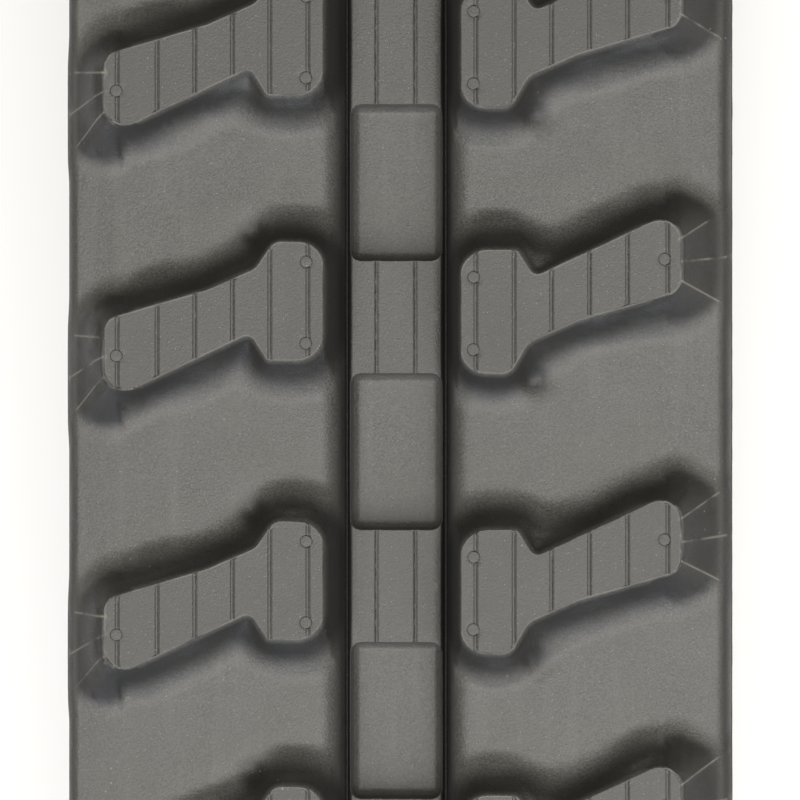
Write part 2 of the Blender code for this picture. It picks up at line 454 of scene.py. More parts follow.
def tread_height(parts, creep):
    """(height, marks) of the tread; creep moves the foot of the lugs' walls in and out.

    The marks are four masks for the material: groove (painted shade in the vent grooves and pin rings),
    top, wall (painted shade down the lugs' walls, on steep flanks, in dents and in slots) and rim (painted
    highlight along the lugs' edges and the flash lines).
    """
    distance, base, fan, lines, dent, profile, pocket, rise, groove = parts
    foot = smooth_step(distance / 4) * smooth_step((14 - distance) / 6)
    lug = LUG_TOP - LUG_SLOPE * np.maximum(distance + creep * foot, 0)
    walls = smooth_max(lug, fan + FLASH_RISE * lines, 4.0)
    height = smooth_max(walls, base, FILLET) - DENT_DEPTH * dent * smooth_step(distance / 2.5)
    height = np.where(distance < 0.05, lug, np.minimum(height, LUG_TOP))
    height = smooth_min(height, profile, 1.0) - pocket + rise
    no_pocket, off_lug = pocket < 0.1, distance > 0.1
    deep = smooth_step((BLOCK_TOP - 0.1 - profile) / 1.2) + smooth_step((-2.5 - height) / 2) * no_pocket
    # Painted shade: darker down the lugs' walls, on the fans' steep flanks, where the panels fall towards
    # the belt's edge, in the dents and in the deep slots.
    painted_shade = (
        smooth_step(distance / 1.2) * smooth_step((8.5 - distance) / 5),
        smooth_step((fan - base + 1) / 3) * off_lug,
        smooth_step((6.9 - base) / 2) * (profile > 20),
        smooth_step(1.4 * dent) * off_lug,
        np.clip(deep, 0, 1),
    )
    top = np.maximum(smooth_step(0.5 - distance / 0.3), 0.7 * (profile < 0) * no_pocket)
    # Painted highlight: a pale line along each lug's edge and along the flash lines over the fans.
    rim = np.maximum(0.5 * smooth_step(1.4 - np.abs(distance + 0.05) / 0.18), lines * (fan > base))
    return height, np.column_stack([groove, top, np.max(painted_shade, axis=0), rim])


def vent_profile(away):
    """(height, groove) of the double vent line at this distance from its middle."""
    groove = bell((away - VENT_HALF_GAP) / VENT_LINE)
    return VENT_RIDGE * (away < 0.3) - VENT_DEPTH * groove, groove


def vents(x, y, lug_y, distance):
    """(height, groove) of the vent lines and pin marks on the lugs and blocks; the groove mask is painted
    as shade in the material.
    """
    on_lug = distance < -0.1
    clear = on_lug
    drawn = []
    for pin in LEFT_PINS + RIGHT_PINS:
        away = np.hypot(x - pin[0], lug_y - pin[1])
        groove = bell((away - PIN_RADIUS) / PIN_LINE)
        drawn.append((on_lug, -PIN_DEPTH * groove, groove))
        clear = clear & (away > PIN_RADIUS)
    for place in LUG_VENTS:
        drawn.append((clear, *vent_profile(np.abs(np.abs(x) - place))))
    on_block = (np.abs(y) < BLOCK_HALF_LENGTH) & (np.abs(x) < COLUMN_HALF - 0.5)
    for place in BLOCK_VENTS:
        drawn.append((on_block, *vent_profile(np.abs(x - place) * BLOCK_VENT_SHARE)))
    rise = np.zeros(x.shape)
    painted_groove_shade = np.zeros(x.shape)
    for shown, height, groove in drawn:
        rise = np.where(shown, rise + height, rise)
        painted_groove_shade = np.where(shown, np.maximum(painted_groove_shade, groove), painted_groove_shade)
    return rise, painted_groove_shade


def inner_height(x, y):
    """The inner side: roller paths, tapered rims, windows for the sprocket and collars at the horns."""
    across = np.abs(x)
    taper = smooth_step((across - 60) / 5) * 3.0 + np.clip((across - 65) / 21, 0, 1) * 2.0
    height = INNER_FACE + taper + RIM_DROP * edge_drop(across, BACK_EDGE)
    to_joint = PITCH / 2 - np.abs(y)
    groove = bell(to_joint / 3.0) * smooth_step((across - 22) / 6)
    height = height + 1.1 * groove * (1 - smooth_step((across - 78) / 8))
    to_horn = rounded_box_distance(across - HORN_MIDDLE, y, (6.2, 12.2), 3.0)
    height = height - 2.6 * (1 - smooth_step(to_horn / 4.5))
    window = -rounded_box_distance(x, to_joint, (12.0, 20.6), 2.5)
    depth = (MEMBRANE_BACK - INNER_FACE) * smooth_step(window / 1.6)
    bridge = smooth_step((13.5 - across) / 2) * smooth_step((14.6 - np.abs(y)) / 2)
    return np.where(window > 0, INNER_FACE + depth, height) - 0.8 * bridge


# ---- triangles of the flat pattern


class Pattern:
    """Points and lines of one pitch, x from edge to edge and y from -PITCH/2 to PITCH/2."""

    def __init__(self, edge):
        self.edge = edge
        self.points = []
        self.lines = []
        ends = np.array([(0.0, -PITCH / 2), (0.0, 0.0), (0.0, PITCH / 2)])
        for side in (-1, 1):
            self.add([(side * edge, y) for _, y in even_points(ends, 2.0, False)])

    def add(self, points, closed=False):
        """Points joined in a row, or in a ring when closed."""
        first = len(self.points)
        self.points += [tuple(p) for p in points]
        last = len(self.points)
        self.lines += [(k, k + 1) for k in range(first, last - 1)]
        if closed:
            self.lines.append((last - 1, first))

    def lengthwise(self, xs, low=-PITCH / 2, high=PITCH / 2, step=1.8):
        for x in xs:
            self.add(even_points(np.array([(x, low), (x, high)]), step, False))

    def add_flash(self, left, move):
        """Close rows along the flash lines of a fan, which end just inside the belt's edge."""
        for start, lean in FLASH_LINES[left]:
            for shift in (-0.45, 0.0, 0.45):
                self.add(flash_line(start + shift, lean, left) + move)

    def crosswise(self, step):
        """Rows right across at the middle of the core and of both pockets, alike at both ends."""
        row = even_points(np.array([(-self.edge, 0), (self.edge, 0)]), step, False)
        xs = np.unique(np.round(row[:, 0], 3))
        for y in (-PITCH / 2, 0.0, PITCH / 2):
            self.add([(x, y) for x in xs])

    def fill(self, step):
        """Points on a grid, except close to a line."""
        lines = np.array(self.points)
        xs = np.arange(-self.edge + step / 2, self.edge, step)
        ys = np.arange(-PITCH / 2 + step / 2, PITCH / 2, step)
        gx, gy = (a.ravel() for a in np.meshgrid(xs, ys))
        gx = gx + np.where((np.round(gy / step) % 2) > 0, step / 4, -step / 4)
        away = np.full(gx.shape, 1e9)
        for p in lines:
            away = np.minimum(away, (gx - p[0]) ** 2 + (gy - p[1]) ** 2)
        keep = (away > (0.6 * step) ** 2) & (np.abs(gx) < self.edge - 0.4 * step)
        self.points += list(zip(gx[keep], gy[keep]))

    def triangles(self):
        """(points, triangles) between all the points and lines."""
        points = [Vector(p) for p in self.points]
        found, _, faces, *_ = delaunay_2d_cdt(points, self.lines, [], 0, 1e-3, False)
        found = np.array([tuple(p) for p in found])
        found[np.abs(found[:, 1]) < 1e-3, 1] = 0
        return found, np.array(faces)


def span_pattern(front_pattern, back_pattern):
    """The pattern from core to core, half of it from each of two links: (x, s) points and triangles."""
    parts, tables, count = [], [], 0
    for front, (points, faces) in ((True, front_pattern), (False, back_pattern)):
        middle = points[faces][:, :, 1].mean(axis=1)
        own = faces[middle < 0] if front else faces[middle > 0]
        used = np.unique(own)
        table = np.zeros(len(points), int)
        table[used] = np.arange(len(used)) + count
        s = -points[used, 1] if front else PITCH - points[used, 1]
        parts.append(np.column_stack([points[used, 0], s]))
        tables.append(table[own])
        count += len(used)
    points, faces = np.concatenate(parts), np.concatenate(tables)
    keys = np.round(points, 2)
    _, first, index = np.unique(keys, axis=0, return_index=True, return_inverse=True)
    faces = index.reshape(-1)[faces]
    points = points[first]
    a, b, c = (points[faces[:, k]] for k in range(3))
    area = (b[:, 0] - a[:, 0]) * (c[:, 1] - a[:, 1]) - (c[:, 0] - a[:, 0]) * (b[:, 1] - a[:, 1])
    faces[area < 0] = faces[area < 0][:, ::-1]
    return points, faces[np.abs(area) > 1e-6]


def outer_pattern(stagger):
    """The tread's points and triangles over one link, whose lugs are moved along by stagger."""
    pattern = Pattern(HALF_WIDTH)
    for side in (-1, 1):
        pattern.lengthwise([side * x for x in COLUMN_LINES + EDGE_LINES])
    pattern.crosswise(1.8)
    shift = np.array([0.0, stagger])
    for left in (True, False):
        for offset in LUG_EDGE_OFFSETS:
            pattern.add(even_points(lug_outline(left, offset), 1.3) + shift, closed=True)
        pattern.add_flash(left, shift)
    for pin in LEFT_PINS + RIGHT_PINS:
        for radius in (PIN_RADIUS - 0.25, PIN_RADIUS, PIN_RADIUS + 0.25):
            ring = [(pin[0] + radius * math.cos(a), pin[1] + radius * math.sin(a)) for a in RING_ANGLES]
            pattern.add(np.array(ring) + shift, closed=True)
    for side, place, low, high in vent_runs():
        pattern.lengthwise([side * place + d for d in VENT_LINES], low + stagger, high + stagger, 2.2)
    for place in BLOCK_VENTS:
        pattern.lengthwise([place + d for d in VENT_LINES], -BLOCK_HALF_LENGTH, BLOCK_HALF_LENGTH, 2.2)
    for side in (-1, 1):
        for inset in POCKET_INSETS:
            pattern.add(side * pocket_rim(inset))
    pattern.fill(GRID_STEP)
    return pattern.triangles()


def vent_runs():
    """(side, |x|, low y, high y) of each vent line on a lug's top."""
    runs = []
    ys = np.arange(-PITCH / 2, PITCH / 2, 0.25)
    for side, outline in zip((-1, 1), LUG_OUTLINES):
        for place in LUG_VENTS:
            inside = ys[signed_distance(np.full(ys.shape, side * place), ys, outline) < -0.3]
            runs.append((side, place, inside.min(), inside.max()))
    return runs


def pocket_rim(inset):
    """Half a pocket's rounded rectangle, drawn inwards from its rim, up to the middle at PITCH/2."""
    half_x, half_y = POCKET_HALF[0] - inset, POCKET_HALF[1] - inset
    corner = max(POCKET_CORNER - inset, 0.5)
    low = PITCH / 2 - half_y
    rim = [(-half_x, PITCH / 2)]
    for turn in np.linspace(0, math.pi / 2, 4):
        rim.append((-half_x + corner * (1 - math.cos(turn)), low + corner * (1 - math.sin(turn))))
    rim += [(-x, y) for x, y in reversed(rim)]
    return even_points(np.array(rim), 1.5, False)


def inner_pattern():
    pattern = Pattern(HALF_WIDTH)
    for side in (-1, 1):
        pattern.lengthwise([side * x for x in INNER_LINES], step=2.4)
    pattern.crosswise(2.4)
    for side in (-1, 1):
        for inset in (0.25, 1.0, 1.9):
            pattern.add(side * pocket_rim(inset))
    pattern.fill(2.2)
    return pattern.triangles()


# ---- the loop


class Span:
    """The stretch of band from the middle of link n's core to that of the next link."""

    def __init__(self, n):
        self.n = n
        self.heading, self.turn = HEADINGS[n], TURNS[n]
        joint = np.array(JOINT_POINTS[n])
        self.first = joint - PITCH / 2 * direction(self.heading)
        self.last = joint + PITCH / 2 * direction(self.heading + self.turn)

    def place(self, x, s, z):
        """World positions, in millimetres, of points at x, s along the pitch line and z over it."""
        x = np.where(x < -LEFT_EDGE_START, -LEFT_EDGE_START + (x + LEFT_EDGE_START) * LEFT_EDGE_SQUEEZE, x)
        share = np.clip((s - FLEX_START) / (FLEX_END - FLEX_START), 0, 1)
        angle = self.heading + share * self.turn
        out = np.column_stack([np.sin(angle), -np.cos(angle)])
        if abs(self.turn) < 1e-6:
            base = self.first + np.outer(s, direction(self.heading))
        else:
            radius = (FLEX_END - FLEX_START) / 2 / math.tan(self.turn / 2)
            start = self.first + FLEX_START * direction(self.heading)
            start_out = np.array([math.sin(self.heading), -math.cos(self.heading)])
            arc = start - radius * start_out + radius * out
            before = np.minimum(s - FLEX_START, 0)
            after = np.maximum(s - FLEX_END, 0)
            along = np.column_stack([np.cos(angle), np.sin(angle)])
            base = arc + (before + after)[:, None] * along
        where = base + z[:, None] * out
        return np.column_stack([x, where])


def direction(heading):
    """(y, z) along the pitch line; the headings are angles from +Y towards +Z."""
    return np.array([math.cos(heading), math.sin(heading)])


def loop_layout():
    """(turns, headings, joints, open joint) of the loop, from the frame; joint n is after link n."""
    found = {}
    for joint in frame["joints"]:
        ends = sorted((link_number(joint["parent"]), link_number(joint["child"])))
        n = ends[1] if ends == [0, LINKS - 1] else ends[0]
        found[n] = (joint["pos_m"][1] / MM, joint["pos_m"][2] / MM)
    missing = next(n for n in range(LINKS) if n not in found)
    opposite = found[(missing + LINKS // 2) % LINKS]
    top = found[(missing - 1) % LINKS][1]
    found[missing] = (-opposite[0], top)
    joints = [found[n] for n in range(LINKS)]
    headings = []
    for n in range(LINKS):
        (y0, z0), (y1, z1) = joints[n - 1], joints[n]
        headings.append(math.atan2(z1 - z0, y1 - y0) % (2 * math.pi))
    turns = [(headings[(n + 1) % LINKS] - headings[n]) % (2 * math.pi) for n in range(LINKS)]
    turns = [0.0 if t > math.pi else t for t in turns]
    return turns, headings, joints, missing


def link_number(body):
    return int(body.split("_")[1])


COLUMN_LINES = (11.4, 11.8, 12.1, 12.5, 13.0, 13.3, 13.6, 14.4, 15.4, 16.4, 17.4, 18.3)
EDGE_LINES = (85.4, 86.8, 87.9, 88.7, 89.2, 89.5)
INNER_LINES = (13.3, 24.5, 60.0, 62.5, 65.0, 85.5, 87.2, 88.5, 89.3)
VENT_LINES = (-0.78, -0.5, -0.28, 0.28, 0.5, 0.78)
POCKET_INSETS = (-0.15, 0.1, 0.35, 0.7, 1.5, 2.6)
RING_ANGLES = np.linspace(0, 2 * math.pi, 15)[:-1]
TURNS, HEADINGS, JOINT_POINTS, OPEN_JOINT = loop_layout()


# ---- the rubber band


PEBBLE = Noise(3, 2.6, 2.6)
CREEP = Noise(13, 13.0, 9.0)
SAG = Noise(5, 9.0, 11.0)
ROLL = Noise(7, 30.0, 34.0)
RIPPLE = Noise(11, 1.3, 3.4)
TILT_STEP = 0.05


def pattern_y(s):
    """The flat pattern's y at s: the first link's lower half, then the next one's upper half."""
    return np.where(s <= PITCH / 2, -s, PITCH - s)


class Sheet:
    """One side of the band over a span: its flat triangles and what its heights are made of."""

    def __init__(self, pattern, parts, height):
        self.points, self.faces = pattern
        self.height = height
        x, s = self.points.T
        self.here = parts(x, s)
        self.over = parts(x + TILT_STEP, s)
        self.ahead = parts(x, s + TILT_STEP)


def lug_moves(x, s, first, last):
    """How far the lugs' pattern is moved along, which changes evenly over the panel between two lugs."""
    start = np.where(x < 0, *MOVE_STARTS)
    return first + (last - first) * smooth_step((s - start) / MOVE_LENGTH)


def tread_span(odd):
    """The tread from one link to the next; the lugs of every other link sit a little further along."""
    first, last = LUG_MOVES[::-1] if odd else LUG_MOVES

    def parts(x, s):
        return tread_parts(x, pattern_y(s), lug_moves(x, s, first, last))

    return Sheet(span_pattern(outer_pattern(first), outer_pattern(last)), parts, tread_sheet)


def back_span():
    pattern = inner_pattern()
    return Sheet(span_pattern(pattern, pattern), lambda x, s: inner_height(x, pattern_y(s)), back_sheet)


def tread_sheet(parts, x, around):
    """(heights, marks) of the tread over one span, uneven as moulded rubber is."""
    creep = 1.5 * CREEP.at(x, around) + 0.7 * SAG.at(x, around)
    height, marks = tread_height(parts, creep)
    # wall is the painted shade mask, which here also places ripples on the walls.
    top, wall = marks[:, 1], marks[:, 2]
    soft = 0.14 * SAG.at(x, around) + 0.2 * ROLL.at(x, around)
    rough = 0.04 * PEBBLE.at(x, around) + wall * 0.3 * RIPPLE.at(x, around) * CREEP.at(x, around)
    height = height + inset(x) * (1 - top) * (soft + rough) + 0.02 * top * PEBBLE.at(x, around)
    return height, marks


def back_sheet(parts, x, around):
    height = parts + inset(x) * (0.1 * SAG.at(x, around) + 0.05 * PEBBLE.at(x, around))
    return height, np.zeros((len(x), 4))


def inset(x):
    """0 at the belt's edge and 1 from 2 mm inside it."""
    return np.clip((HALF_WIDTH - np.abs(x)) / 2, 0, 1)


def sheet_points(sheet, span):
    """(world points, world normals, marks) of one side of the band over a span."""
    x, s = sheet.points.T
    around = span.n * PITCH + s
    height, marks = sheet.height(sheet.here, x, around)
    here = span.place(x, s, height)
    over = span.place(x + TILT_STEP, s, sheet.height(sheet.over, x + TILT_STEP, around)[0])
    ahead = span.place(x, s + TILT_STEP, sheet.height(sheet.ahead, x, around + TILT_STEP)[0])
    normals = np.cross(over - here, ahead - here)
    normals /= np.linalg.norm(normals, axis=1)[:, None]
    return here, normals, marks


def boundary(points, x=None, s=None):
    """Indexes of the pattern's points on one of its edges, in order."""
    if x is not None:
        found = np.nonzero(np.abs(points[:, 0] - x) < 1e-3)[0]
        return found[np.argsort(points[found, 1])]
    found = np.nonzero(np.abs(points[:, 1] - s) < 1e-3)[0]
    return found[np.argsort(points[found, 0])]


def side_rows(span, side, ss):
    """Rows of world points down the belt's edge, on the right side (1) or the left (-1)."""
    rows = []
    for x, z in SIDE_PROFILE:
        wave = SIDE_WAVE * RIPPLE.at(np.full(ss.shape, side * x), span.n * PITCH + ss)
        reach = x + (wave - SIDE_WAVE if x == PARTING_EDGE else 0)
        rows.append(span.place(side * reach * np.ones(ss.shape), ss, np.full(ss.shape, z)))
    return rows


class BandMesh:
    """Collects points, faces and normals of one closed piece of the band."""

    def __init__(self):
        self.points = []
        self.normals = []
        self.faces = []
        self.marks = []
        self.count = 0

    def add(self, points, normals, marks):
        first = self.count
        self.points.append(points)
        self.normals.append(normals)
        self.marks.append(marks)
        self.count += len(points)
        return first

    def mesh(self, name):
        points = np.concatenate(self.points) * MM
        marks = np.concatenate(self.marks)
        mesh = bpy.data.meshes.new(name)
        mesh.from_pydata(points.tolist(), [], [tuple(int(i) for i in f) for f in self.faces])
        shade_smooth(mesh)
        # Masks for the material: groove and wall carry painted shade, rim a painted highlight.
        for k, key in enumerate(("groove", "top", "wall", "rim")):
            layer = mesh.attributes.new(key, "FLOAT", "POINT")
            layer.data.foreach_set("value", marks[:, k].astype(np.float32))
        mesh.update()
        mesh.normals_split_custom_set_from_vertices(np.concatenate(self.normals).tolist())
        return mesh


def shade_smooth(mesh):
    mesh.polygons.foreach_set("use_smooth", [True] * len(mesh.polygons))


def span_mesh(span, name):
    """A closed piece of band: tread, back, both edges and two end faces at the cores' middles."""
    band = BandMesh()
    offsets = {}
    sheets = SHEETS[span.n % 2]
    for key, sheet in sheets.items():
        points, normals, marks = sheet_points(sheet, span)
        offsets[key] = band.add(points, normals if key == "tread" else -normals, marks)
        flipped = sheet.faces if key == "tread" else sheet.faces[:, ::-1]
        band.faces += [tuple(f) for f in flipped + offsets[key]]

    def edge_rows(**place):
        return [boundary(sheets[key].points, **place) + offsets[key] for key in ("tread", "back")]

    rims = {}
    for side in (-1, 1):
        tread, back = edge_rows(x=side * HALF_WIDTH)
        ss = sheets["tread"].points[tread - offsets["tread"], 1]
        rows = [tread]
        for world in side_rows(span, side, ss):
            normals = np.tile((float(side), 0.0, 0.0), (len(world), 1))
            first = band.add(world, normals, np.zeros((len(world), 4)))
            rows.append(np.arange(first, first + len(world)))
        rows.append(back)
        for a, b in zip(rows, rows[1:]):
            for k in range(len(a) - 1):
                quad = (a[k], a[k + 1], b[k + 1], b[k])
                band.faces.append(quad if side > 0 else quad[::-1])
        rims[side] = rows
    for s, end in ((0.0, 0), (PITCH, -1)):
        tread, back = edge_rows(s=s)
        right = [row[end] for row in rims[1][1:-1]]
        left = [row[end] for row in rims[-1][1:-1]]
        ring = list(tread) + right + list(back[::-1]) + left[::-1]
        band.faces.append(tuple(ring if s == 0 else ring[::-1]))
    return band.mesh(name)


BACK = back_span()
SHEETS = [{"tread": tread_span(odd), "back": BACK} for odd in (False, True)]


def body_name(n):
    return f"link_{n % LINKS:02d}"


def add_object(name, data):
    added = bpy.data.objects.new(name, data)
    bpy.context.scene.collection.objects.link(added)
    return added


def add_piece(name, mesh, material, body, replaced=()):
    """One named piece of the track; a body of None leaves it free, with no body."""
    mesh.name = name
    piece = add_object(name, mesh)
    mesh.materials.clear()
    mesh.materials.append(material)
    if body:
        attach(piece, body)
    if replaced:
        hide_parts(*replaced)
    return piece


def add_band(material):
    """A piece of rubber from each core to the next, which bends where their joint is."""
    for n in range(LINKS):
        span = Span(n)
        if n == OPEN_JOINT:
            add_open_halves(span, n, material)
            continue
        name = f"band_{n:02d}_{(n + 1) % LINKS:02d}"
        piece = add_piece(name, span_mesh(span, name), material, None, [f"rubber_link_{n:02d}"])
        start = (span.first + FLEX_START * direction(span.heading)) * MM
        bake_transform(piece)


def add_open_halves(span, n, material):
    """At the open pivot no joint bends the band, so each link carries its own half."""
    whole = span_mesh(span, "open")
    joint = np.array(JOINT_POINTS[n]) * MM
    along = direction(span.heading + span.turn / 2)
    for link, sign in ((n, 1), (n + 1, -1)):
        body = bmesh.new()
        body.from_mesh(whole)
        cut = bmesh.ops.bisect_plane(
            body, geom=body.verts[:] + body.edges[:] + body.faces[:], dist=1e-6,
            plane_co=(0, *joint), plane_no=(0, *(sign * along)), clear_outer=True,
        )
        rim = [e for e in cut["geom_cut"] if isinstance(e, bmesh.types.BMEdge)]
        bmesh.ops.contextual_create(body, geom=rim)
        mesh = bpy.data.meshes.new("half")
        body.to_mesh(mesh)
        body.free()
        shade_smooth(mesh)
        name = f"band_{link:02d}_end" if sign > 0 else f"band_{link:02d}_start"
        replaced = [f"rubber_link_{n:02d}"] if sign > 0 else []
        add_piece(name, mesh, material, body_name(link), replaced)
    bpy.data.meshes.remove(whole)


# ---- cores


# Sections of a core across the track: x, then half length and height at the top and at the back
CORE_SECTIONS = (
    (58.0, 6.0, -6.2, 5.4, -9.8),
    (57.0, 8.0, -5.0, 7.2, -11.4),
    (54.0, 9.6, -4.2, 8.8, -12.4),
    (40.0, 10.6, -4.0, 9.8, -12.5),
    (26.0, 11.3, -4.0, 10.4, -12.6),
    (24.4, 11.4, -4.0, 9.9, -14.0),
    (23.3, 11.4, -4.0, 8.9, -17.5),
    (22.6, 11.4, -4.0, 7.8, -22.5),
    (21.9, 11.4, -4.0, 6.6, -29.0),
    (21.1, 11.4, -4.0, 5.4, -37.0),
    (20.2, 11.4, -4.0, 4.7, -42.6),
    (19.0, 11.4, -4.2, 4.2, -44.7),
    (17.6, 11.4, -5.2, 4.1, -44.6),
    (16.5, 11.5, -6.6, 4.5, -42.2),
    (15.8, 11.6, -7.4, 5.2, -37.0),
    (15.1, 11.7, -7.9, 6.6, -29.5),
    (14.4, 11.8, -8.0, 8.4, -24.4),
    (13.4, 11.9, -8.0, 9.6, -22.4),
    (11.0, 12.0, -7.6, 10.2, -21.9),
    (6.0, 12.0, -6.0, 10.6, -21.8),
    (0.0, 12.0, -5.6, 10.8, -21.8),
)
CORE_ROUNDING = 2.2
CORE_RING = 28


def core_ring(half_top, top, half_back, back):
    """A core's cross-section, as (y, z) points of a rounded trapezoid."""
    radius = min(CORE_ROUNDING, 0.45 * (top - back), 0.45 * 2 * min(half_top, half_back))
    corners = ((half_top, top), (half_back, back), (-half_back, back), (-half_top, top))
    shape = rounded_outline([(y, z, radius) for y, z in corners])
    lengths = np.linalg.norm(np.roll(shape, -1, axis=0) - shape, axis=1)
    along = np.concatenate([[0], np.cumsum(lengths)])
    closed = np.vstack([shape, shape[:1]])
    places = np.linspace(0, along[-1], CORE_RING, endpoint=False)
    return np.column_stack([np.interp(places, along, closed[:, k]) for k in (0, 1)])


def core_points():
    """Rings of points of a core in its link's own frame: y along the pitch, z over the cord plane."""
    half = [(x, *sizes) for x, *sizes in CORE_SECTIONS]
    sections = half[:-1] + [(-x, *sizes) for x, *sizes in reversed(half)]
    return np.array([[(x, y, z) for y, z in core_ring(*sizes)] for x, *sizes in sections])


def link_place(n, points):
    """World positions, in millimetres, of points in link n's own frame."""
    middle = (np.array(JOINT_POINTS[n - 1]) + np.array(JOINT_POINTS[n])) / 2
    heading = HEADINGS[n]
    out = np.array([math.sin(heading), -math.cos(heading)])
    where = middle - np.outer(points[:, 1], direction(heading)) + np.outer(points[:, 2], out)
    return np.column_stack([points[:, 0], where])


def core_mesh(n):
    rings = core_points()
    count, around = rings.shape[:2]
    flat = rings.reshape(-1, 3)
    faces = []
    for near in range(0, (count - 1) * around, around):
        far = near + around
        for j in range(around):
            after = (j + 1) % around
            faces.append((near + j, near + after, far + after, far + j))
    faces += [tuple(range(around))[::-1], tuple(range((count - 1) * around, count * around))]
    mesh = bpy.data.meshes.new("core")
    mesh.from_pydata((link_place(n, flat) * MM).tolist(), [], faces)
    shade_smooth(mesh)
    outwards(mesh)
    return mesh


def outwards(mesh):
    """Turns the faces so that they look out."""
    body = bmesh.new()
    body.from_mesh(mesh)
    bmesh.ops.recalc_face_normals(body, faces=body.faces)
    body.to_mesh(mesh)
    body.free()


def add_cores(material):
    for n in range(LINKS):
        name = f"core_casting_{n:02d}"
        add_piece(name, core_mesh(n), material, body_name(n), [f"core_{n:02d}"])


# ---- materials


def new_material(name):
    material = bpy.data.materials.new(name)
    material.use_nodes = True
    return material, material.node_tree, material.node_tree.nodes["Principled BSDF"]


def feed(tree, node, inputs):
    """Links each named input to another node's output, or sets its own value."""
    for key, value in inputs.items():
        if isinstance(value, bpy.types.NodeSocket):
            tree.links.new(value, node.inputs[key])
        else:
            node.inputs[key].default_value = value


def add_node(tree, kind, inputs=(), **settings):
    node = tree.nodes.new(kind)
    for key, value in settings.items():
        setattr(node, key, value)
    feed(tree, node, dict(inputs))
    return node


def maths(tree, operation, a, b):
    return add_node(tree, "ShaderNodeMath", {0: a, 1: b}, operation=operation).outputs[0]


def times(tree, a, b):
    return maths(tree, "MULTIPLY", a, b)


def mix_colour(tree, share, a, b):
    """Colour a where the share is 0 and b where it is 1."""
    first, second = 6, 7
    inputs = {"Factor": share, first: (*a, 1) if isinstance(a, tuple) else a, second: (*b, 1)}
    return add_node(tree, "ShaderNodeMix", inputs, data_type="RGBA").outputs[2]


def spread(tree, value, low, high):
    """0 below low, 1 above high and even between."""
    node = add_node(tree, "ShaderNodeMapRange", {"Value": value, "From Min": low, "From Max": high})
    return node.outputs["Result"]


def new_group(name, kind, inputs, outputs):
    """A node group with named sockets: (tree, input node, output node)."""
    tree = bpy.data.node_groups.new(name, kind)
    for key, socket_kind, value in inputs:
        socket = tree.interface.new_socket(key, in_out="INPUT", socket_type="NodeSocket" + socket_kind)
        if value is not None:
            socket.default_value = value
    for key, socket_kind in outputs:
        tree.interface.new_socket(key, in_out="OUTPUT", socket_type="NodeSocket" + socket_kind)
    return tree, tree.nodes.new("NodeGroupInput"), tree.nodes.new("NodeGroupOutput")


def noise_node(tree, point, scale, detail, **rest):
    inputs = {"Vector": point, "Scale": scale, "Detail": detail, **rest}
    return add_node(tree, "ShaderNodeTexNoise", inputs).outputs["Fac"]


def grain_group():
    """Fine moulding grain, with painted glints of tiny bright facets and a cloudy mask for dust and
    smears.
    """
    tree, given, made = new_group(
        "fine_grain",
        "ShaderNodeTree",
        [("Vector", "Vector", None), ("Grain Size", "Float", 1.0), ("Cloud Size", "Float", 1.0)],
        [("Grain", "Float"), ("Sparkle", "Float"), ("Clouds", "Float")],
    )
    point = given.outputs["Vector"]
    fine = maths(tree, "DIVIDE", 1600.0, given.outputs["Grain Size"])
    broad = maths(tree, "DIVIDE", 38.0, given.outputs["Cloud Size"])
    flecks = add_node(tree, "ShaderNodeTexVoronoi", {"Vector": point, "Scale": fine}, feature="F1")
    chance = add_node(tree, "ShaderNodeSeparateColor", {"Color": flecks.outputs["Color"]})
    near = spread(tree, flecks.outputs["Distance"], 0.26, 0.08)
    lucky = spread(tree, chance.outputs[0], 0.86, 0.95)
    feed(tree, made, {
        "Grain": noise_node(tree, point, fine, 4.0, Roughness=0.7),
        "Sparkle": times(tree, near, lucky),
        "Clouds": noise_node(tree, point, broad, 5.0, Roughness=0.6),
    })
    return tree


def object_point(tree):
    return tree.nodes.new("ShaderNodeTexCoord").outputs["Object"]


def use_grain(tree, group, point, grain, cloud):
    """The grain group's outputs, with its grain and its clouds at these sizes."""
    inputs = {"Vector": point, "Grain Size": grain, "Cloud Size": cloud}
    return add_node(tree, "ShaderNodeGroup", inputs, node_tree=group).outputs


def bump(tree, height, strength, distance, before=None):
    inputs = {"Height": height, "Strength": strength, "Distance": distance}
    if before:
        inputs["Normal"] = before
    return add_node(tree, "ShaderNodeBump", inputs).outputs["Normal"]


def painted_mask(tree, name):
    """One of the masks that the band's mesh carries."""
    return add_node(tree, "ShaderNodeAttribute", attribute_name=name).outputs["Fac"]


def painted_smear_highlights(tree, point):
    """Painted highlight: faint lighter streaks along the belt, where glossy smears catch the light."""
    drawn = add_node(tree, "ShaderNodeMapping", {"Vector": point, "Scale": (210.0, 17.0, 60.0)})
    return spread(tree, noise_node(tree, drawn.outputs["Vector"], 1.0, 3.0), 0.54, 0.72)


